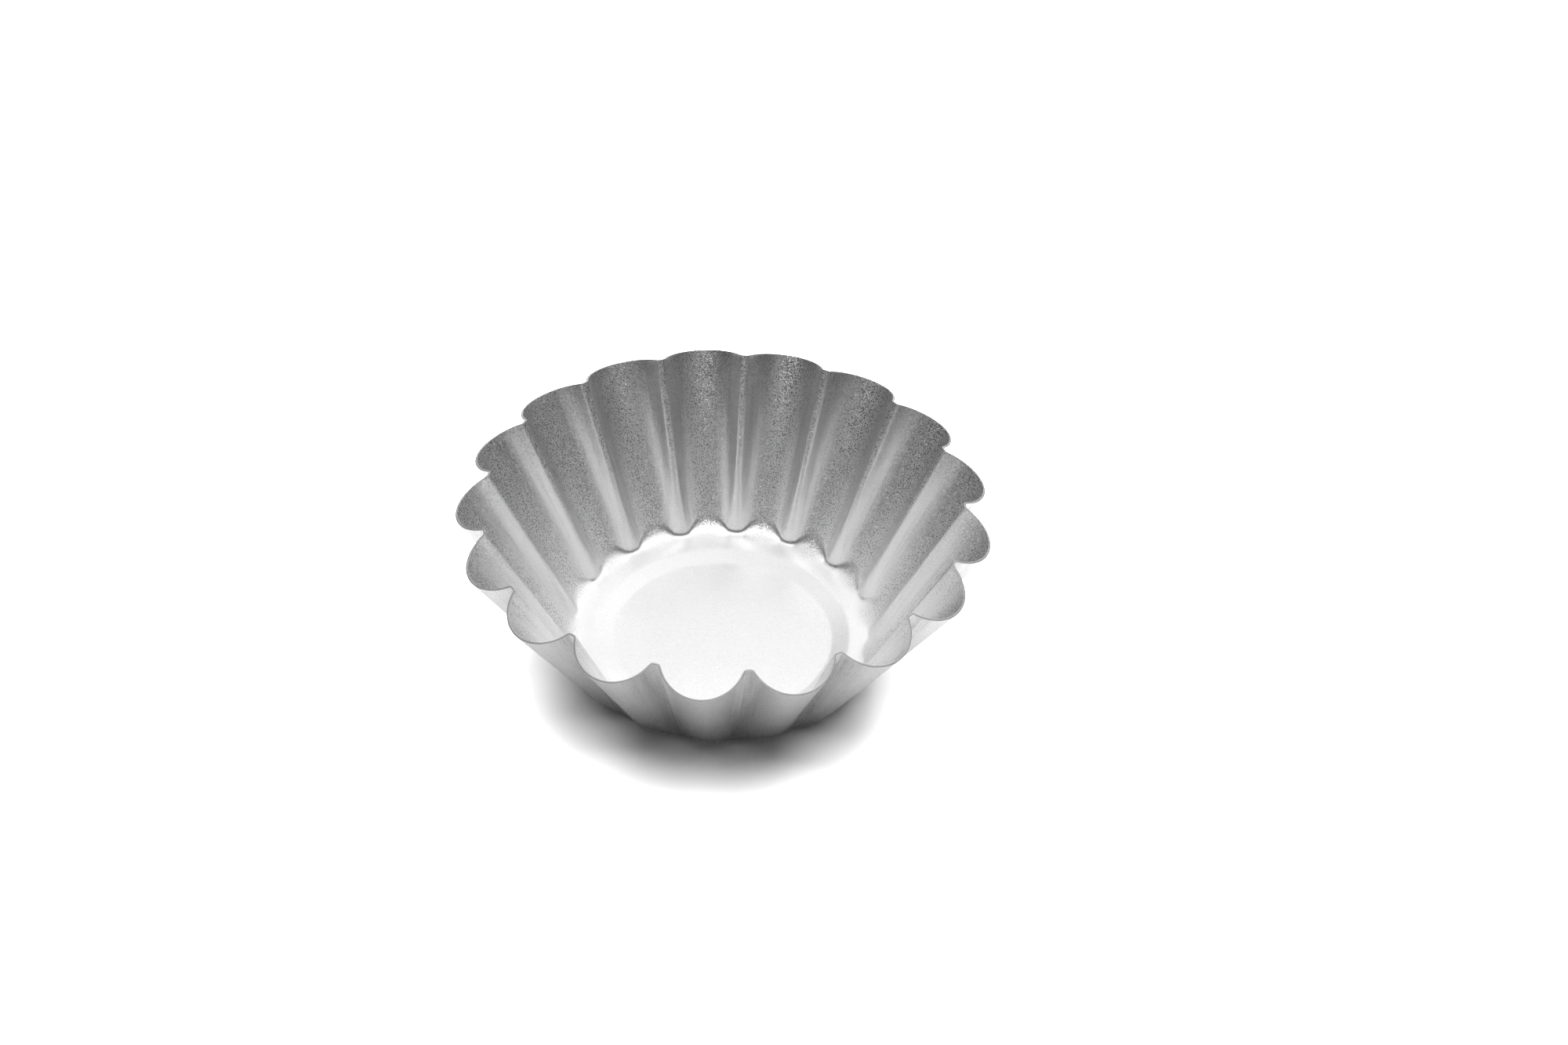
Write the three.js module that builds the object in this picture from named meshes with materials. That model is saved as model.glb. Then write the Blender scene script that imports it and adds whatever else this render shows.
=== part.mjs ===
// A deep fluted tart pan, drawn and fluted from one round blank of thin tinplate.
// Millimetres, +Z up, the pan's axis on Z, the underside of the pressed disc on Z = 0, one ridge facing +Y.
// Sizes are taken on the inner face of the sheet, the face that the punch shapes.
import * as THREE from "three";
import { LoftGeometry } from "three/addons/geometries/LoftGeometry.js";
import { mergeGeometries, mergeVertices } from "three/addons/utils/BufferGeometryUtils.js";

// The sheet
const sheetThickness = 0.4;

// The floor from the middle outwards: a disc that is pressed down, a sloped step up from it and a flat ledge
const discDiameter = 42.4;
const discDrop = 0.9;
const stepWidth = 3.5;
const stepBendRadius = 3;
const ledgeWidth = 5.3; // to the foot, the line where the lobes' own slope would meet the ledge

// The bend that rounds the foot off
const lobeBendRadius = 7;
const ridgeBendRadius = 4;

// The flutes: lobes bulge outwards and meet at narrow ridges that point inwards
const fluteCount = 17;
const footFluteDepth = 0.7; // from a lobe to a ridge's crest
const footCrestRadius = 4;

// The rim, a raw cut edge that runs higher over the ridges than over the lobes
const rimDiameter = 100; // over the lobes
const rimFluteDepth = 5; // from a lobe to a ridge's crest
const rimCrestRadius = 1.2;
const rimDip = 2.6; // of the lobes' edge below the ridges' edge
const wallHeight = 33.2; // from the ledge to the ridges' edge

// The mesh: segments in half a lobe, in half a crest, and along each stretch of the sheet's section
const lobeSegments = 4;
const crestSegments = 2;
const stepBendSegments = 1;
const wallBendSegments = 4;
const wallSegments = 3;

// Finish
const tinColour = 0xb4b6b7;
const tinRoughness = 0.38;

// Derived sizes
const discRadius = discDiameter / 2;
const stepRadius = discRadius + stepWidth;
const footRadius = stepRadius + ledgeWidth;
const rimRadius = rimDiameter / 2;
const discTop = sheetThickness;
const ledgeTop = discTop + discDrop;
const rimTop = ledgeTop + wallHeight;
const pitch = (2 * Math.PI) / fluteCount;
const firstLobeAngle = -Math.PI / 2;
const halfFluteSegments = lobeSegments + crestSegments;
const lobeShare = lobeSegments / halfFluteSegments;

function polar(radius, angle, height) {
  return new THREE.Vector3(radius * Math.cos(angle), radius * Math.sin(angle), height);
}

// Half a flute in plan, from a lobe's centre line on +X to the next ridge: two arcs that touch.
// Returns a function that gives the point at a share of the way, where the lobe takes the first lobeShare.
function halfFlute(lobeRadius, depth, crestRadius) {
  const ridgeAngle = pitch / 2;
  const crest = polar(lobeRadius - depth + crestRadius, ridgeAngle, 0);
  const bulge = lobeRadius - crest.x;
  const arcRadius = (bulge ** 2 + crest.y ** 2 - crestRadius ** 2) / (2 * (bulge + crestRadius));
  const arcX = lobeRadius - arcRadius;
  const meetAngle = Math.atan2(crest.y, crest.x - arcX);
  const lobeArc = new THREE.ArcCurve(arcX, 0, arcRadius, 0, meetAngle, false);
  const crestArc = new THREE.ArcCurve(
    crest.x, crest.y, crestRadius, Math.PI + meetAngle, Math.PI + ridgeAngle, true,
  );
  return (share) =>
    share <= lobeShare
      ? lobeArc.getPoint(share / lobeShare)
      : crestArc.getPoint((share - lobeShare) / (1 - lobeShare));
}

const footFlute = halfFlute(footRadius, footFluteDepth, footCrestRadius);
const rimFlute = halfFlute(rimRadius, rimFluteDepth, rimCrestRadius);

// A point of a flute at a turn round the pan. Turns are counted in flutes, and whole ones lie on a lobe's centre line.
function flutePoint(flute, turn, height) {
  const lobe = Math.round(turn);
  const point = flute(2 * Math.abs(turn - lobe));
  const angle = firstLobeAngle + lobe * pitch + Math.sign(turn - lobe) * point.angle();
  return polar(point.length(), angle, height);
}

// A round bend that joins two straight stretches leaving a corner, in their directions from it.
class Bend extends THREE.Curve {
  constructor(corner, toStart, toEnd, radius) {
    super();
    const halfAngle = toStart.angleTo(toEnd) / 2;
    const reach = radius / Math.tan(halfAngle);
    const middle = toStart.clone().add(toEnd).normalize();
    this.start = corner.clone().addScaledVector(toStart, reach);
    this.end = corner.clone().addScaledVector(toEnd, reach);
    this.centre = corner.clone().addScaledVector(middle, radius / Math.sin(halfAngle));
    this.axis = toEnd.clone().cross(toStart).normalize();
    this.sweep = Math.PI - 2 * halfAngle;
  }

  getPoint(share, target = new THREE.Vector3()) {
    target.subVectors(this.start, this.centre);
    return target.applyAxisAngle(this.axis, share * this.sweep).add(this.centre);
  }
}

// The inner face's section at a turn round the pan: its stretches from the axis to the rim.
function sectionAt(turn) {
  const foot = flutePoint(footFlute, turn, ledgeTop);
  const rim = flutePoint(rimFlute, turn, rimTop);
  const towardsRidge = (rimRadius - Math.hypot(rim.x, rim.y)) / rimFluteDepth;
  rim.z -= rimDip * (1 - towardsRidge);

  const angle = Math.atan2(foot.y, foot.x);
  const outwards = polar(1, angle, 0);
  const inwards = outwards.clone().negate();
  const discEdge = polar(discRadius, angle, discTop);
  const stepTop = polar(stepRadius, angle, ledgeTop);
  const upStep = stepTop.clone().sub(discEdge).normalize();
  const upWall = rim.clone().sub(foot).normalize();

  const lowerBend = new Bend(discEdge, inwards, upStep, stepBendRadius);
  const upperBend = new Bend(stepTop, upStep.clone().negate(), outwards, stepBendRadius);
  const wallBendRadius = THREE.MathUtils.lerp(lobeBendRadius, ridgeBendRadius, towardsRidge);
  const wallBend = new Bend(foot, inwards, upWall, wallBendRadius);
  const discCentre = new THREE.Vector3(0, 0, discTop);
  return [
    { curve: new THREE.LineCurve3(discCentre, lowerBend.start), segments: 1 },
    { curve: lowerBend, segments: stepBendSegments },
    { curve: new THREE.LineCurve3(lowerBend.end, upperBend.start), segments: 1 },
    { curve: upperBend, segments: stepBendSegments },
    { curve: new THREE.LineCurve3(upperBend.end, wallBend.start), segments: 1 },
    { curve: wallBend, segments: wallBendSegments },
    { curve: new THREE.LineCurve3(wallBend.end, rim), segments: wallSegments },
  ];
}

// The inner and outer points of the sheet along its section at a turn, from the disc's edge to the rim.
// Each outer point lies straight through the sheet, square to the slopes along the section and round the pan.
function sheetAt(turn) {
  const nudge = 1e-4;
  const section = sectionAt(turn);
  const before = sectionAt(turn - nudge);
  const after = sectionAt(turn + nudge);
  const inner = [];
  const outer = [];
  section.forEach(({ curve, segments }, i) => {
    for (let step = 1; step <= segments; step += 1) {
      const share = step / segments;
      const point = curve.getPoint(share);
      const along = curve.getPoint(share).sub(curve.getPoint(share - nudge));
      const around = after[i].curve.getPoint(share).sub(before[i].curve.getPoint(share));
      const outOfBowl = around.cross(along).normalize();
      inner.push(point);
      outer.push(point.clone().addScaledVector(outOfBowl, sheetThickness));
    }
  });
  return { inner, outer };
}

// A flat disc that fills a level ring, facing up or down.
function fillRing(ring, facingUp) {
  const centre = new THREE.Vector3(0, 0, ring[0].z);
  const corners = ring.flatMap((point, i) => {
    const next = ring[(i + 1) % ring.length];
    return facingUp ? [centre, point, next] : [centre, next, point];
  });
  return new THREE.BufferGeometry().setFromPoints(corners);
}

// The pan is one sheet: up the outer face to the rim, over the cut edge and down the inner face.
const segmentsRound = fluteCount * 2 * halfFluteSegments;
const sheets = Array.from({ length: segmentsRound }, (_, i) => sheetAt(i / (2 * halfFluteSegments)));
const ringsOf = (face) => sheets[0][face].map((_, i) => sheets.map((sheet) => sheet[face][i]));
const outerRings = ringsOf("outer");
const innerRings = ringsOf("inner");
const wall = new LoftGeometry([...outerRings, ...innerRings.toReversed()]).toNonIndexed();
wall.deleteAttribute("normal");
wall.deleteAttribute("uv");
const underside = fillRing(outerRings[0], false);
const bakingDisc = fillRing(innerRings[0], true);
const shell = mergeVertices(mergeGeometries([wall, underside, bakingDisc]));
shell.computeVertexNormals();

const tinplate = new THREE.MeshStandardMaterial({ color: tinColour, roughness: tinRoughness, metalness: 1 });
const pan = new THREE.Mesh(shell, tinplate);
pan.name = "fluted_pan";

const tartPan = new THREE.Group();
tartPan.add(pan);
export default tartPan;
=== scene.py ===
"""Looks of a deep fluted tart pan, drawn and fluted from one sheet of tinplate.

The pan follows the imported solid's own formulas in finer steps, and adds what is too fine for it: the flat
land along each ridge, the creases and the short straight flanks beside the land, the tighter toes of the
ridges and the edge that the cutter left. Sizes are millimetres until a mesh, a lamp or the camera is made,
and metres there.
"""

import logging
import math
from dataclasses import dataclass, field
from enum import Enum, IntEnum

import bpy
import numpy as np
from mathutils import Matrix, Vector


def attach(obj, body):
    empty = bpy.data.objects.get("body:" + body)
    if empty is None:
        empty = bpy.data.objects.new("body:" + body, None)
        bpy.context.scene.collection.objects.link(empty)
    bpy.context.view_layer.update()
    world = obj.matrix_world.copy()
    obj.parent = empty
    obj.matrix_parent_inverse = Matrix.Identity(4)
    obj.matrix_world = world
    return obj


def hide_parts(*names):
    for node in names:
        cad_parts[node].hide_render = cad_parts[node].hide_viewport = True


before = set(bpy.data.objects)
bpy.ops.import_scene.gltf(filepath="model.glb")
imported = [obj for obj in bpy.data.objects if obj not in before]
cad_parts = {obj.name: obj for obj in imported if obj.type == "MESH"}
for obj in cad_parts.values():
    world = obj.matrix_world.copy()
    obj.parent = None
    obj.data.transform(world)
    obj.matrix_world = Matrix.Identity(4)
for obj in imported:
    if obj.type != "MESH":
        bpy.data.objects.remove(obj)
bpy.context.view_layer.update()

MM = 0.001
log = logging.getLogger("tart_pan")


class SheetField(Enum):
    """Values that the pan's mesh carries for its finish, by the name of the mesh attribute."""

    FINISH = "sheet_finish"
    RULING = "sheet_ruling"


class MixSocket(IntEnum):
    """Places of the colour sockets on a Mix node, which share their names with sockets for other data."""

    SHARE = 0
    FIRST = 6
    SECOND = 7
    RESULT = 2


def linear_colour(code: str) -> tuple[float, float, float, float]:
    """Turns a colour to linear light, by the curve of the sRGB standard.

    Args:
        code: the sRGB colour as a hex value, such as "#c0c0c0".

    Returns:
        Red, green and blue in linear light, and an alpha of 1.
    """
    shares = [int(code[at : at + 2], 16) / 255 for at in (1, 3, 5)]
    red, green, blue = (s / 12.92 if s <= 0.04045 else ((s + 0.055) / 1.055) ** 2.4 for s in shares)
    return red, green, blue, 1.0


def add_node(
    tree: bpy.types.NodeTree, kind: str, inputs: dict | None = None, **settings: object
) -> bpy.types.Node:
    """Adds a node with its settings, and fills or links its inputs.

    Args:
        tree: the node tree that gets the node.
        kind: Blender's name for the type of node.
        inputs: for each input's name or number, the socket that is linked to it or the value that it holds.
        settings: the node's own properties.

    Returns:
        The new node.
    """
    node = tree.nodes.new(kind)
    for name, value in settings.items():
        setattr(node, name, value)
    for name, value in (inputs or {}).items():
        if isinstance(value, bpy.types.NodeSocket):
            tree.links.new(value, node.inputs[name])
        else:
            node.inputs[name].default_value = value
    return node


def new_material(name: str) -> tuple[bpy.types.Material, bpy.types.NodeTree]:
    """Makes a material with an empty node tree.

    Args:
        name: the material's name.

    Returns:
        The material and its node tree.
    """
    material = bpy.data.materials.new(name)
    material.use_nodes = True
    material.node_tree.nodes.clear()
    return material, material.node_tree


def add_object(name: str, data: bpy.types.ID) -> bpy.types.Object:
    """Makes an object and puts it into the scene.

    Args:
        name: the object's name.
        data: the mesh, lamp or camera that it shows.

    Returns:
        The new object.
    """
    made = bpy.data.objects.new(name, data)
    bpy.context.scene.collection.objects.link(made)
    return made


def ring_faces(rings: int, columns: int) -> list[list[int]]:
    """Joins a grid of closed rings by quads, and fills the first ring by a fan of triangles.

    Points are numbered ring by ring, and the fan's middle comes straight after the last of them.

    Args:
        rings: the number of rings.
        columns: the number of points on each ring.

    Returns:
        The numbers of each face's points.
    """
    index = np.arange(rings * columns).reshape(rings, columns)
    after = np.roll(index, -1, axis=1)
    quads = np.stack([index[:-1], index[1:], after[1:], after[:-1]], axis=-1).reshape(-1, 4)
    fan = np.stack([np.full(columns, index.size), index[0], after[0]], axis=-1)
    return quads.tolist() + fan.tolist()


def between(first: float | np.ndarray, last: float | np.ndarray, share: np.ndarray) -> np.ndarray:
    """Goes evenly from a first value, at a share of 0, to a last value, at a share of 1."""
    return first + (last - first) * share


def smooth_step(over: tuple[float, float], value: np.ndarray) -> np.ndarray:
    """Rises smoothly from 0 to 1 over a range: three times the share squared, less twice its cube."""
    share = np.clip((value - over[0]) / (over[1] - over[0]), 0.0, 1.0)
    return share * share * (3.0 - 2.0 * share)


def unit(vectors: np.ndarray) -> np.ndarray:
    """Scales vectors, held along the last axis, to a length of 1."""
    return vectors / np.linalg.norm(vectors, axis=-1, keepdims=True)


@dataclass(frozen=True)
class SheetPatterns:
    """Sockets that the tinplate's nodes read: its two patterns, and how much of each mark a point has."""

    grain: bpy.types.NodeSocket
    grain_lean: bpy.types.NodeSocket
    lines: bpy.types.NodeSocket
    grainy: bpy.types.NodeSocket
    lined: bpy.types.NodeSocket
    cut: bpy.types.NodeSocket


@dataclass(frozen=True)
class Tinplate:
    """Drawn tinplate: thin steel sheet with a bright tin coat.

    Stretched sheet that no tool rubbed has an orange-peel grain. Its facets lean every way and its pits are
    dull, so it sparkles and breaks reflections up. The punch ironed the flanks beside each ridge, so they
    are smooth and mirror softly. Where the sheet slid over a tool it carries lines along the draw, which
    show as duller streaks. The cut rim is bare grey steel.
    """

    name: str = "drawn_tinplate"

    # The bright coat, what dulls it, and the bare steel of the cut edge
    colour: str = "#fdfdfd"
    dull_colour: str = "#a4a4a4"
    steel_colour: str = "#cccccc"
    metallic: float = 1.0
    roughness: float = 0.34
    grain_roughness: float = 0.46
    steel_roughness: float = 0.6
    dull_share: float = 0.05

    # The grain: about a tenth of a millimetre wide in reality, and drawn coarser here so that it shows
    grain_size: float = 0.27
    grain_detail: float = 1.0
    grain_fineness: float = 0.7
    grain_range: tuple[float, float] = (0.25, 0.75)
    grain_middle: tuple[float, float, float] = (0.5, 0.5, 0.5)
    grain_tilt: float = 1.1
    grain_dull_share: float = 0.1
    grain_dulling: float = 2.0

    # The draw lines: their spacing round the rim and their length along the draw
    line_spacing: float = 1.0
    line_length: float = 18.0
    line_detail: float = 3.0
    line_fineness: float = 0.65
    line_range: tuple[float, float] = (0.32, 0.68)
    line_depth: float = 0.02
    line_dulling: float = 0.65

    def patterns(self, tree: bpy.types.NodeTree) -> SheetPatterns:
        """Draws the grain in the object's space and the draw lines along the sheet's rulings.

        Args:
            tree: the material's node tree.

        Returns:
            The patterns, and the mesh's values that say where they show.
        """
        place = add_node(tree, "ShaderNodeTexCoord").outputs["Object"]
        finish, ruling = (
            add_node(tree, "ShaderNodeAttribute", attribute_name=sheet_field.value).outputs["Vector"]
            for sheet_field in (SheetField.FINISH, SheetField.RULING)
        )
        grainy, lined, cut = add_node(tree, "ShaderNodeSeparateXYZ", {"Vector": finish}).outputs
        grain = add_node(tree, "ShaderNodeTexNoise", {
            "Vector": place, "Scale": 1.0 / (self.grain_size * MM),
            "Detail": self.grain_detail, "Roughness": self.grain_fineness,
        }).outputs
        across = 1.0 / self.line_spacing
        along = 1.0 / self.line_length
        stretched = add_node(tree, "ShaderNodeMapping", {
            "Vector": ruling, "Scale": (across, across, along),
        })
        lines = add_node(tree, "ShaderNodeTexNoise", {
            "Vector": stretched.outputs["Vector"], "Scale": 1.0,
            "Detail": self.line_detail, "Roughness": self.line_fineness,
        }).outputs["Fac"]
        lean = add_node(tree, "ShaderNodeVectorMath", {
            0: grain["Color"], 1: self.grain_middle,
        }, operation="SUBTRACT")
        return SheetPatterns(
            grain=grain["Fac"], grain_lean=lean.outputs["Vector"], lines=lines,
            grainy=grainy, lined=lined, cut=cut,
        )

    def relief(self, tree: bpy.types.NodeTree, sheet: SheetPatterns) -> bpy.types.NodeSocket:
        """Leans each facet of the grain its own way, and adds the draw lines as shallow grooves.

        The facets' normal is the surface's own plus the grain's lean times its tilt, at a length of 1.

        Args:
            tree: the material's node tree.
            sheet: the patterns and where they show.

        Returns:
            The socket with the surface's normal.
        """
        tilt_share = add_node(tree, "ShaderNodeMath", {
            0: sheet.grainy, 1: self.grain_tilt,
        }, operation="MULTIPLY")
        tilt = add_node(tree, "ShaderNodeVectorMath", {
            0: sheet.grain_lean, "Scale": tilt_share.outputs[0],
        }, operation="SCALE")
        tilted = add_node(tree, "ShaderNodeVectorMath", {
            0: add_node(tree, "ShaderNodeNewGeometry").outputs["Normal"], 1: tilt.outputs["Vector"],
        }, operation="ADD")
        facets = add_node(tree, "ShaderNodeVectorMath", {
            0: tilted.outputs["Vector"],
        }, operation="NORMALIZE")
        line_height = add_node(tree, "ShaderNodeMath", {
            0: sheet.lines, 1: sheet.lined,
        }, operation="MULTIPLY")
        line_bump = add_node(tree, "ShaderNodeBump", {
            "Height": line_height.outputs[0], "Distance": self.line_depth * MM,
            "Normal": facets.outputs["Vector"],
        })
        return line_bump.outputs["Normal"]

    def tint(self, tree: bpy.types.NodeTree, sheet: SheetPatterns) -> bpy.types.NodeSocket:
        """Colours the sheet: bright tin, duller in the grain's pits and the draw lines, and bare steel.

        The dull colour's share is that of smooth tin, plus the pits' times how grainy the sheet is, plus the
        streaks' times how lined it is.

        Args:
            tree: the material's node tree.
            sheet: the patterns and where they show.

        Returns:
            The socket with the colour.
        """
        half_pit = 0.5 * self.grain_dulling
        half_streak = 0.5 * self.line_dulling
        pits = add_node(tree, "ShaderNodeMapRange", {
            "Value": sheet.grain, "From Min": self.grain_range[0], "From Max": self.grain_range[1],
            "To Min": self.grain_dull_share + half_pit, "To Max": self.grain_dull_share - half_pit,
        })
        streaks = add_node(tree, "ShaderNodeMapRange", {
            "Value": sheet.lines, "From Min": self.line_range[0], "From Max": self.line_range[1],
            "To Min": half_streak, "To Max": -half_streak,
        })
        pit_share = add_node(tree, "ShaderNodeMath", {
            0: pits.outputs["Result"], 1: sheet.grainy, 2: self.dull_share,
        }, operation="MULTIPLY_ADD")
        dull_share = add_node(tree, "ShaderNodeMath", {
            0: streaks.outputs["Result"], 1: sheet.lined, 2: pit_share.outputs[0],
        }, operation="MULTIPLY_ADD", use_clamp=True)
        tin = add_node(tree, "ShaderNodeMix", {
            MixSocket.SHARE: dull_share.outputs[0],
            MixSocket.FIRST: linear_colour(self.colour),
            MixSocket.SECOND: linear_colour(self.dull_colour),
        }, data_type="RGBA")
        sheet_colour = add_node(tree, "ShaderNodeMix", {
            MixSocket.SHARE: sheet.cut,
            MixSocket.FIRST: tin.outputs[MixSocket.RESULT],
            MixSocket.SECOND: linear_colour(self.steel_colour),
        }, data_type="RGBA")
        return sheet_colour.outputs[MixSocket.RESULT]

    def sheen(self, tree: bpy.types.NodeTree, sheet: SheetPatterns) -> bpy.types.NodeSocket:
        """Roughens the sheet from smooth tin to grainy tin and to bare steel.

        Args:
            tree: the material's node tree.
            sheet: the patterns and where they show.

        Returns:
            The socket with the roughness.
        """
        tin_roughness = add_node(tree, "ShaderNodeMapRange", {
            "Value": sheet.grainy, "To Min": self.roughness, "To Max": self.grain_roughness,
        })
        sheet_roughness = add_node(tree, "ShaderNodeMapRange", {
            "Value": sheet.cut, "To Min": tin_roughness.outputs["Result"], "To Max": self.steel_roughness,
        })
        return sheet_roughness.outputs["Result"]

    def material(self) -> bpy.types.Material:
        """Builds the material: a metal whose colour, roughness and normal follow the sheet's marks.

        Returns:
            The material.
        """
        material, tree = new_material(self.name)
        sheet = self.patterns(tree)
        shader = add_node(tree, "ShaderNodeBsdfPrincipled", {
            "Base Color": self.tint(tree, sheet),
            "Metallic": self.metallic,
            "Roughness": self.sheen(tree, sheet),
            "Normal": self.relief(tree, sheet),
        })
        add_node(tree, "ShaderNodeOutputMaterial", {"Surface": shader.outputs["BSDF"]})
        return material


@dataclass(frozen=True)
class WhiteTable:
    """A table top in matt white paint, which scatters light evenly and has no gloss.

    It is exposed well past white, so that only the depth of the pan's shadow shows on it.
    """

    name: str = "matt_white_table"
    bounce_colour: str = "#5c5c5c"
    seen_colour: str = "#ffffff"
    seen_gain: float = 5.5
    mirrored_gain: float = 1.75

    # A ray's scatters are counted in whole numbers, so below this limit it has none
    scatter_limit: float = 0.5

    def material(self) -> bpy.types.Material:
        """Builds the material: plain matt white, brighter where the camera sees it.

        Metal and glass see it as white too. Light that the table has already scattered gets the duller
        colour, which keeps the shadow deep.

        Returns:
            The material.
        """
        material, tree = new_material(self.name)
        path = add_node(tree, "ShaderNodeLightPath").outputs
        mirrored = add_node(tree, "ShaderNodeMath", {
            0: path["Is Glossy Ray"], 1: path["Is Transmission Ray"],
        }, operation="MAXIMUM")
        unscattered = add_node(tree, "ShaderNodeMath", {
            0: path["Diffuse Depth"], 1: self.scatter_limit,
        }, operation="LESS_THAN")
        in_metal = add_node(tree, "ShaderNodeMath", {
            0: mirrored.outputs[0], 1: unscattered.outputs[0],
        }, operation="MULTIPLY")
        white = np.array(linear_colour(self.seen_colour))
        scattered = add_node(tree, "ShaderNodeMix", {
            MixSocket.SHARE: in_metal.outputs[0],
            MixSocket.FIRST: linear_colour(self.bounce_colour),
            MixSocket.SECOND: tuple(white * self.mirrored_gain),
        }, data_type="RGBA")
        tint = add_node(tree, "ShaderNodeMix", {
            MixSocket.SHARE: path["Is Camera Ray"],
            MixSocket.FIRST: scattered.outputs[MixSocket.RESULT],
            MixSocket.SECOND: tuple(white * self.seen_gain),
        }, data_type="RGBA")
        shader = add_node(tree, "ShaderNodeBsdfDiffuse", {"Color": tint.outputs[MixSocket.RESULT]})
        add_node(tree, "ShaderNodeOutputMaterial", {"Surface": shader.outputs["BSDF"]})
        return material


@dataclass(frozen=True)
class DrawMarks:
    """How strongly the press marked each part of the sheet, and over which ranges the marks come and go.

    Ranges are of the wall's station, apart from those of the lobe's and the crease's own shares.
    """

    # Strengths of the grain, of its sparkle and of the draw lines
    floor_grain: float = 0.12
    lobe_grain: float = 1.0
    flank_grain: float = 0.15
    land_grain: float = 0.8
    rim_grain: float = 0.35
    outer_grain: float = 0.3
    foot_sparkle: float = 0.9
    rim_sparkle: float = 1.6
    flank_lines: float = 0.6
    outer_lobe_lines: float = 0.12
    outer_ridge_lines: float = 0.82

    # Ranges, and how much wider the lobes' grain is at the foot
    foot_spread: float = 0.25
    wall_start: tuple[float, float] = (0.0, 0.12)
    land_start: tuple[float, float] = (0.2, 0.7)
    rim_start: tuple[float, float] = (0.5, 1.0)
    sparkle_rise: tuple[float, float] = (0.25, 0.95)
    lobe_fade_share: tuple[float, float] = (0.0, 0.75)
    outer_ridge_share: tuple[float, float] = (0.45, 0.95)
    land_crease_share: tuple[float, float] = (0.5, 1.0)


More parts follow.
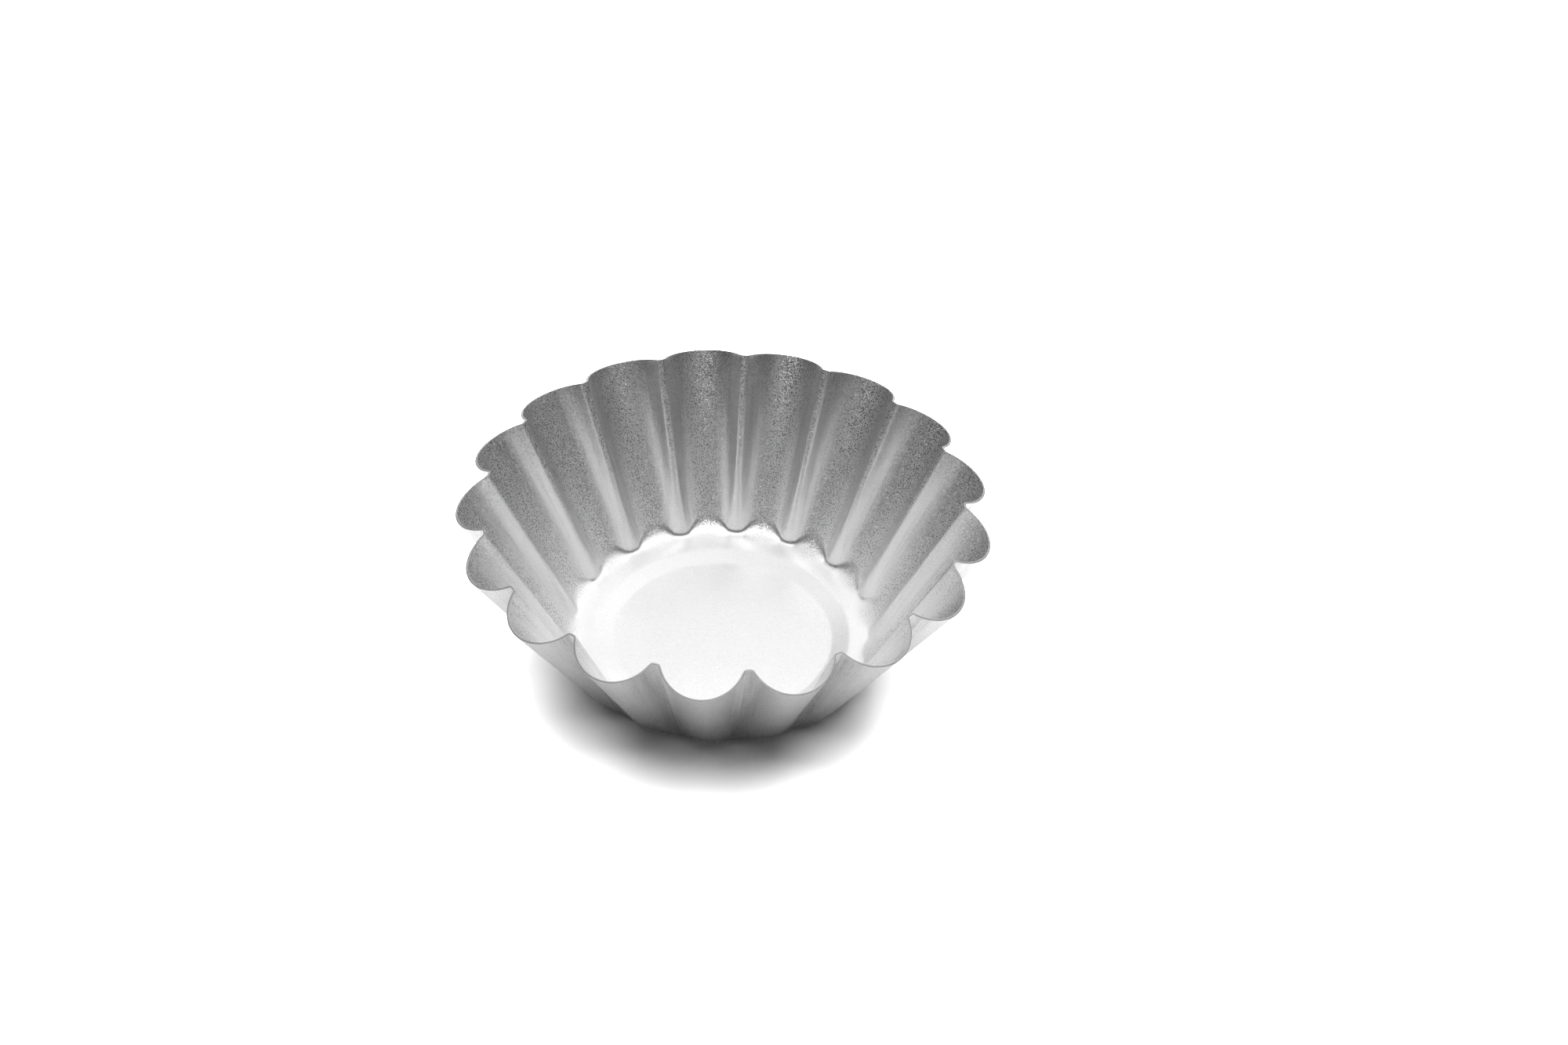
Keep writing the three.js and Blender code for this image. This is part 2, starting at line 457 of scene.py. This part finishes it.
@dataclass
class FlutedPan:
    """The whole pan: one sheet, from the pressed disc over a step, a ledge and a bend to the fluted wall.

    Sizes are taken on the inner face, which the punch shaped. The wall's station is 0 at the foot and 1 at
    the rim.
    """

    finish: Tinplate = field(default_factory=Tinplate)
    marks: DrawMarks = field(default_factory=DrawMarks)
    name: str = "tart_pan_sheet"

    # The sheet, its floor and the bend at the foot
    sheet: float = 0.4
    disc_radius: float = 21.2
    disc_drop: float = 0.9
    step_width: float = 3.5
    step_bend: float = 3.0
    ledge_width: float = 5.3
    lobe_bend: float = 7.0
    ridge_bend: float = 1.8

    # The fluted wall and its raw rim
    flute_count: int = 17
    foot_depth: float = 0.9
    foot_crest: float = 5.0
    rim_radius: float = 50.0
    rim_depth: float = 5.0
    depth_growth: float = 0.85
    rim_dip: float = 2.6
    wall_height: float = 33.2
    middle_flank: float = 0.6
    end_flank: float = 0.2
    crease_radius: float = 0.8
    crease_fade: float = 8.0
    rim_land: float = 0.7
    foot_land: float = 0.2
    edge_break: float = 0.04

    # The mesh: steps in half a flute and rings along the section, with one more ring close under the rim
    lobe_steps: int = 13
    flank_steps: int = 1
    crease_steps: int = 3
    land_steps: int = 1
    disc_rings: int = 6
    step_bend_rings: int = 4
    ledge_rings: int = 3
    bend_rings: int = 12
    wall_rings: int = 34
    edge_ring: float = 0.15

    # The step of the station over which the wall's slope is taken
    slope_step: float = 0.01

    def __post_init__(self) -> None:
        """Works out the sizes that follow from the driving ones, and each column's place in its flute."""
        self.half_pitch = math.pi / self.flute_count
        self.step_radius = self.disc_radius + self.step_width
        self.foot_radius = self.step_radius + self.ledge_width
        self.ledge_top = self.sheet + self.disc_drop
        self.rim_top = self.ledge_top + self.wall_height

        half = self.lobe_steps + self.flank_steps + self.crease_steps + self.land_steps
        step = np.arange(-half, half)
        steps = np.tile(step, self.flute_count)
        lobe = np.repeat(np.arange(self.flute_count), step.size)
        self.columns = steps.size
        self.lobe_angle = 2.0 * self.half_pitch * lobe - math.pi / 2.0
        self.side = np.sign(steps)
        self.lobe_share = np.clip(np.abs(steps) / self.lobe_steps, 0.0, 1.0)
        past_lobe = np.abs(steps) - self.lobe_steps
        self.flank_share = np.clip(past_lobe / self.flank_steps, 0.0, 1.0)
        past_flank = past_lobe - self.flank_steps
        self.crease_share = np.clip(past_flank / self.crease_steps, 0.0, 1.0)
        self.land_share = np.clip((past_flank - self.crease_steps) / self.land_steps, 0.0, 1.0)

    def plan(self, station: np.ndarray) -> tuple[np.ndarray, np.ndarray]:
        """Gives the flutes' outline in plan at stations of the wall.

        Half a flute runs from the lobe's centre line on +X to the ridge's centre line, half a pitch further
        round: a wide arc for the lobe, a short straight flank, a tight arc for the crease, which turns the
        other way, and a straight land square to the ridge's centre line. Each runs smoothly into the next.
        The crease's centre stands one crease radius outside the land's end. The lobe's arc is the one
        through the lobe's outermost point whose common tangent with the crease's circle, the flank, has the
        length that is asked for.

        The flute's depth grows with a power of the station. The crease's radius shrinks from the foot's
        crest with a power of the station that is left, and the flank is longest half-way up, by a parabola.

        Args:
            station: the wall's station at each point, with the mesh's columns along the last axis.

        Returns:
            The distance from the pan's axis and the angle round it, at each point.
        """
        outermost = between(self.foot_radius, self.rim_radius, station)
        innermost = outermost - between(self.foot_depth, self.rim_depth, station**self.depth_growth)
        crease = between(self.crease_radius, self.foot_crest, (1.0 - station) ** self.crease_fade)
        half_land = 0.5 * between(self.foot_land, self.rim_land, station)
        flank = between(self.end_flank, self.middle_flank, 4.0 * station * (1.0 - station))
        cosine = math.cos(self.half_pitch)
        sine = math.sin(self.half_pitch)
        crease_x = (innermost + crease) * cosine + half_land * sine
        crease_y = (innermost + crease) * sine - half_land * cosine
        bulge = outermost - crease_x
        lobe = (bulge**2 + crease_y**2 - crease**2 - flank**2) / (2.0 * (bulge + crease))
        lobe_x = outermost - lobe
        meet = np.arctan2(crease_y, crease_x - lobe_x) - np.arctan2(flank, lobe + crease)

        lobe_turn = meet * self.lobe_share
        crease_turn = between(meet, self.half_pitch, self.crease_share)
        along_flank = flank * self.flank_share
        along_land = half_land * self.land_share
        lobe_side_x = lobe_x + lobe * np.cos(lobe_turn) - along_flank * np.sin(meet)
        lobe_side_y = lobe * np.sin(lobe_turn) + along_flank * np.cos(meet)
        crease_side_x = crease_x - crease * np.cos(crease_turn) - along_land * sine
        crease_side_y = crease_y - crease * np.sin(crease_turn) + along_land * cosine
        before_crease = self.flank_share < 1.0
        x = np.where(before_crease, lobe_side_x, crease_side_x)
        y = np.where(before_crease, lobe_side_y, crease_side_y)
        return np.hypot(x, y), self.lobe_angle + self.side * np.arctan2(y, x)

    def wall(self, station: np.ndarray) -> np.ndarray:
        """Gives points of the inner wall, as if it ran straight down to the ledge.

        The height grows evenly with the station, up to a rim that dips from the ridges towards the lobes.

        Args:
            station: the wall's station at each point, with the mesh's columns along the last axis.

        Returns:
            The points, with x, y and z along a new last axis.
        """
        radius, angle = self.plan(station)
        height = between(self.ledge_top, self.rim_height(), station)
        return np.stack([radius * np.cos(angle), radius * np.sin(angle), height], axis=-1)

    def towards_ridge(self) -> np.ndarray:
        """Gives each column's place between a lobe, 0, and a ridge, 1, by its depth at the rim."""
        radius, _ = self.plan(np.ones(self.columns))
        return (self.rim_radius - radius) / self.rim_depth

    def rim_height(self) -> np.ndarray:
        """Gives the height of the rim at each column."""
        return self.rim_top - self.rim_dip * (1.0 - self.towards_ridge())

    def outwards(self) -> np.ndarray:
        """Gives the level direction from the axis to each column's foot."""
        foot = self.wall(np.zeros(self.columns))
        return unit(foot * np.array([1.0, 1.0, 0.0]))

    def floor_profile(self) -> tuple[np.ndarray, np.ndarray]:
        """Gives the floor's section: a flat disc, a round bend up, a slope and a round bend to level.

        Returns:
            The distance from the axis and the height of each ring, from the disc to the top of the step.
        """
        slope = math.atan2(self.disc_drop, self.step_width)
        reach = self.step_bend * math.tan(slope / 2.0)
        disc = np.linspace(0.0, self.disc_radius - reach, self.disc_rings + 1)[1:]
        turn = np.linspace(0.0, slope, self.step_bend_rings + 1)
        low_radius = disc[-1] + self.step_bend * np.sin(turn)
        low_height = self.sheet + self.step_bend * (1.0 - np.cos(turn))
        high_radius = self.step_radius + reach - self.step_bend * np.sin(turn[::-1])
        high_height = self.ledge_top - self.step_bend * (1.0 - np.cos(turn[::-1]))
        radius = np.concatenate([disc[:-1], low_radius, high_radius])
        height = np.concatenate([np.full(disc.size - 1, self.sheet), low_height, high_height])
        return radius, height

    def foot_bend(self) -> tuple[np.ndarray, np.ndarray]:
        """Gives the bend that rounds the foot off, from the ledge to the wall.

        It is a curve with two handles, one level and one along the wall, as long as those of a round bend:
        four thirds of the radius times the tangent of a quarter of the turn.

        Returns:
            The bend's points on a grid of rings and columns, and the wall's station at each of them.
        """
        outwards = self.outwards()
        foot = self.wall(np.zeros(self.columns))
        up_wall = self.wall(np.ones(self.columns)) - foot
        wall_length = np.linalg.norm(up_wall, axis=-1)
        turn = np.arccos(np.sum(outwards * up_wall, axis=-1) / wall_length)
        radius = between(self.lobe_bend, self.ridge_bend, self.towards_ridge())
        reach = radius * np.tan(turn / 2.0)
        handle = (4.0 / 3.0 * radius * np.tan(turn / 4.0))[:, None]

        last_station = reach / wall_length
        start = foot - outwards * reach[:, None]
        end = self.wall(last_station)
        end_slope = unit(self.wall(last_station + self.slope_step) - end)
        ring_share = np.linspace(0.0, 1.0, self.bend_rings + 1)[:, None]
        share = ring_share[..., None]
        points = (
            (1.0 - share) ** 3 * start
            + 3.0 * (1.0 - share) ** 2 * share * (start + outwards * handle)
            + 3.0 * (1.0 - share) * share**2 * (end - end_slope * handle)
            + share**3 * end
        )
        return points, last_station * ring_share

    def inner_face(self) -> tuple[np.ndarray, np.ndarray]:
        """Gives the inner face on a grid of rings from the disc to the rim, and columns round the pan.

        Returns:
            The points, and the wall's station at each of them.
        """
        ring_radius, ring_height = self.floor_profile()
        height = np.broadcast_to(ring_height[:, None, None], (ring_height.size, self.columns, 1))
        level = ring_radius[:, None, None] * self.outwards()[:, :2]
        floor = np.concatenate([level, height], axis=-1)
        bend, bend_station = self.foot_bend()
        share = np.linspace(0.0, 1.0, self.ledge_rings + 1)[1:-1, None, None]
        ledge = between(floor[-1], bend[0], share)

        rise = np.linspace(0.0, 1.0, self.wall_rings + 1)[1:]
        rise = np.insert(rise, -1, 1.0 - self.edge_ring / self.wall_height)[:, None]
        wall_station = between(bend_station[-1], 1.0, rise)
        flat = np.zeros((len(floor) + len(ledge), self.columns))
        points = np.concatenate([floor, ledge, bend, self.wall(wall_station)])
        return points, np.concatenate([flat, bend_station, wall_station])

    def both_faces(self, inner: np.ndarray) -> np.ndarray:
        """Gives the whole sheet's rings: up the inner face, over the cut edge and down the outer face.

        The outer face lies one sheet thickness from the inner one, square to its slopes along the section
        and round the pan. The cut edge has two rings of its own, because its corners are slightly broken.

        Args:
            inner: the inner face's points, in rings from the disc to the rim.

        Returns:
            The points, in rings from the disc's inner face to its underside.
        """
        along = np.gradient(inner, axis=0)
        around = np.roll(inner, -1, axis=1) - np.roll(inner, 1, axis=1)
        into_bowl = unit(np.cross(along, around))
        outer = inner - self.sheet * into_bowl
        corner_in = self.edge_break * into_bowl[-1:]
        corner_down = self.edge_break * unit(along[-1:])
        return np.concatenate([
            inner[:-1],
            inner[-1:] - corner_down,
            inner[-1:] - corner_in,
            outer[-1:] + corner_in,
            outer[-1:] - corner_down,
            outer[-2::-1],
        ])

    def finish_values(self, station: np.ndarray) -> np.ndarray:
        """Gives the finish of the inner and the outer face, and of the cut edge between them.

        Inside, the grain runs down the middle of each lobe, along each ridge's land and, lighter, along the
        rim and over the floor. It sparkles more towards the rim, and draw lines lie on the flanks. Outside,
        the sheet slid over the tool: the grain is light, and draw lines lie mostly along the ridges.

        Args:
            station: the wall's station at each point, with the mesh's columns along the last axis.

        Returns:
            The share of grain, of draw lines and of bare cut steel along a new last axis, for the rings of
            the inner face from the disc to the rim, two rings on the cut edge, and the outer face's back to
            the disc.
        """
        marks = self.marks
        on_wall = smooth_step(marks.wall_start, station)
        spread = marks.foot_spread * (1.0 - station) ** 2
        off_lobe = smooth_step(marks.lobe_fade_share, self.lobe_share - spread)
        on_land = smooth_step(marks.land_crease_share, self.crease_share)
        wall_grain = np.maximum.reduce([
            between(marks.lobe_grain, marks.flank_grain, off_lobe),
            marks.land_grain * on_land * smooth_step(marks.land_start, station),
            marks.rim_grain * smooth_step(marks.rim_start, station),
        ])
        grain = between(marks.floor_grain, wall_grain, on_wall)
        sparkle = between(marks.foot_sparkle, marks.rim_sparkle, smooth_step(marks.sparkle_rise, station))
        lines = marks.flank_lines * (1.0 - grain) * on_wall
        none = np.zeros_like(station)
        inside = np.stack([grain * sparkle, lines, none], axis=-1)

        near_ridge = smooth_step(marks.outer_ridge_share, self.lobe_share)
        outer_lines = between(marks.outer_lobe_lines, marks.outer_ridge_lines, near_ridge) * on_wall
        outside = np.stack([none + marks.outer_grain, outer_lines, none], axis=-1)
        edge = np.broadcast_to([0.0, 0.0, 1.0], (2, self.columns, 3))
        return np.concatenate([inside, edge, outside[::-1]])

    def ruling_values(self, inner: np.ndarray) -> np.ndarray:
        """Gives where each point lies along its ruling, for the draw lines.

        The first two values are its column's place on the rim, in plan, and the third is the length of
        sheet up to its ring. The cut edge has the rim's values, and the outer face those of the inner one.

        Args:
            inner: the inner face's points, in rings from the disc to the rim.

        Returns:
            The values, in the same rings as the whole sheet.
        """
        length = np.cumsum(np.linalg.norm(np.diff(inner, axis=0, prepend=inner[:1]), axis=-1), axis=0)
        rim_place = np.broadcast_to(inner[-1, :, :2], (*length.shape, 2))
        ruling = np.concatenate([rim_place, length[..., None]], axis=-1)
        return np.concatenate([ruling, ruling[-1:], ruling[-1:], ruling[::-1]])

    def build(self) -> bpy.types.Object:
        """Builds the sheet as one closed mesh, with a point on the axis for each side of the disc.

        Returns:
            The pan's object, with the values that its finish reads.
        """
        inner, station = self.inner_face()
        grid = self.both_faces(inner)
        rings, columns, _ = grid.shape
        poles = np.array([[0.0, 0.0, self.sheet], [0.0, 0.0, 0.0]])
        points = np.concatenate([grid.reshape(-1, 3), poles]) * MM
        last_ring = np.arange(columns) + (rings - 1) * columns
        last_pole = np.full(columns, rings * columns + 1)
        underside = np.stack([last_pole, np.roll(last_ring, -1), last_ring], axis=-1)

        mesh = bpy.data.meshes.new(self.name)
        mesh.from_pydata(points.tolist(), [], ring_faces(rings, columns) + underside.tolist())
        mesh.polygons.foreach_set("use_smooth", np.ones(len(mesh.polygons), dtype=bool))
        fields = {
            SheetField.FINISH: self.finish_values(station),
            SheetField.RULING: self.ruling_values(grid[: len(inner)]),
        }
        for sheet_field, values in fields.items():
            rows = np.concatenate([values.reshape(-1, 3), values[0, :1], values[-1, :1]])
            attribute = mesh.attributes.new(sheet_field.value, "FLOAT_VECTOR", "POINT")
            attribute.data.foreach_set("vector", rows.astype(np.float32).ravel())
        mesh.update()
        return add_object(self.name, mesh)

    def dress(self, pan: bpy.types.Object) -> None:
        """Gives the pan its finish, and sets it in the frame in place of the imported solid.

        Args:
            pan: the pan's object.
        """
        pan.data.materials.append(self.finish.material())
        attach(pan, "root")
        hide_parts("fluted_pan")


@dataclass(frozen=True)
class SoftBox:
    """A flat studio lamp with an even face, turned towards the pan.

    Azimuth is turned from behind the pan, +Y, towards its right, +X, and elevation is above the table, both
    in degrees. The size is the face's width and height, and the power is in watts.
    """

    name: str
    azimuth: float
    elevation: float
    distance: float
    size: tuple[float, float]
    power: float

    def build(self) -> bpy.types.Object:
        """Builds the lamp: an area light that faces the pan's axis at the table.

        Returns:
            The lamp's object.
        """
        azimuth = math.radians(self.azimuth)
        elevation = math.radians(self.elevation)
        level = math.cos(elevation)
        outwards = Vector((level * math.sin(azimuth), level * math.cos(azimuth), math.sin(elevation)))
        light = bpy.data.lights.new(self.name, "AREA")
        light.shape = "RECTANGLE"
        light.size = self.size[0] * MM
        light.size_y = self.size[1] * MM
        light.energy = self.power
        lamp = add_object(self.name, light)
        lamp.location = outwards * self.distance * MM
        lamp.rotation_euler = outwards.to_track_quat("Z", "Y").to_euler()
        return lamp


@dataclass
class Studio:
    """The white table and the soft light round it, most of it from above and behind the pan.

    The table lies a hair below the pan, so that no two faces coincide.
    """

    table: WhiteTable = field(default_factory=WhiteTable)
    table_name: str = "table_top"
    table_radius: float = 3000.0
    table_drop: float = 0.02
    table_rings: int = 8
    table_columns: int = 64
    ambient: float = 0.004
    soft_boxes: tuple[SoftBox, ...] = (
        SoftBox("overhead_front", azimuth=180, elevation=72, distance=900, size=(600, 300), power=1.65),
        SoftBox("overhead_back", azimuth=0, elevation=72, distance=900, size=(600, 300), power=0.55),
        SoftBox("overhead_right", azimuth=90, elevation=68, distance=900, size=(400, 500), power=1.03),
        SoftBox("overhead_left", azimuth=-90, elevation=68, distance=900, size=(400, 500), power=0.65),
        SoftBox("back_high", azimuth=4, elevation=54, distance=1200, size=(1400, 330), power=1.65),
        SoftBox("back_middle", azimuth=9, elevation=38, distance=1200, size=(1000, 330), power=1.18),
        SoftBox("back_low", azimuth=0, elevation=20, distance=1200, size=(700, 420), power=3.2),
        SoftBox("back_right", azimuth=55, elevation=42, distance=1200, size=(500, 600), power=1.15),
        SoftBox("back_left", azimuth=-55, elevation=42, distance=1200, size=(500, 600), power=0.77),
        SoftBox("front_card", azimuth=180, elevation=15, distance=1200, size=(1400, 300), power=0.32),
    )

    def build_table(self) -> bpy.types.Object:
        """Builds the table top: a level disc of rings, whose radius grows with the square of their number.

        Returns:
            The table's object.
        """
        radius = self.table_radius * np.linspace(0.0, 1.0, self.table_rings + 1)[1:, None] ** 2
        angle = np.linspace(0.0, 2.0 * math.pi, self.table_columns, endpoint=False)
        level = np.full((self.table_rings, self.table_columns), -self.table_drop)
        rings = np.stack([radius * np.cos(angle), radius * np.sin(angle), level], axis=-1)
        points = np.concatenate([rings.reshape(-1, 3), [[0.0, 0.0, -self.table_drop]]]) * MM
        mesh = bpy.data.meshes.new(self.table_name)
        mesh.from_pydata(points.tolist(), [], ring_faces(self.table_rings, self.table_columns))
        mesh.materials.append(self.table.material())
        table = add_object(self.table_name, mesh)
        return table

    def light(self) -> None:
        """Lights the scene: a dim, even world and the soft boxes."""
        world = bpy.data.worlds.new("dim_room")
        world.use_nodes = True
        tree = world.node_tree
        tree.nodes.clear()
        background = add_node(tree, "ShaderNodeBackground", {"Strength": self.ambient})
        add_node(tree, "ShaderNodeOutputWorld", {"Surface": background.outputs["Background"]})
        bpy.context.scene.world = world
        for soft_box in self.soft_boxes:
            soft_box.build()


@dataclass(frozen=True)
class PhotoCamera:
    """The camera of the photo: where it stands and how it is turned, fitted to the pan's rim and floor.

    Its angles are degrees.
    """

    name: str = "photo_camera"
    place: tuple[float, float, float] = (35.2, -444.4, 419.1)
    heading: float = 3.08
    look_down: float = 41.11
    roll: float = 1.789
    focal_length: float = 72.24
    sensor_width: float = 36.0
    farthest_seen: float = 20000.0

    def build(self) -> bpy.types.Object:
        """Builds the camera and makes it the scene's own.

        It is rolled about its own line of sight, tipped up from looking straight down, and then turned
        about Z.

        Returns:
            The camera's object.
        """
        lens = bpy.data.cameras.new(self.name)
        lens.lens = self.focal_length
        lens.sensor_width = self.sensor_width
        lens.clip_end = self.farthest_seen * MM
        camera = add_object(self.name, lens)
        turned = Matrix.Rotation(math.radians(self.heading), 4, "Z")
        tipped = Matrix.Rotation(math.radians(90.0 - self.look_down), 4, "X")
        rolled = Matrix.Rotation(math.radians(self.roll), 4, "Z")
        camera.matrix_world = Matrix.Translation(Vector(self.place) * MM) @ turned @ tipped @ rolled
        bpy.context.scene.camera = camera
        return camera


def main() -> None:
    """Builds the camera, the pan, the table and the light, and reports each piece."""
    logging.basicConfig(level=logging.INFO, format="%(name)s: %(message)s")
    bpy.context.scene.view_settings.view_transform = "Standard"
    PhotoCamera().build()
    fluted_pan = FlutedPan()
    pan = fluted_pan.build()
    fluted_pan.dress(pan)
    log.info("%s: %d faces", pan.name, len(pan.data.polygons))
    studio = Studio()
    table = studio.build_table()
    studio.light()
    log.info("%s and %d lamps", table.name, len(studio.soft_boxes))


if __name__ == "__main__":
    main()
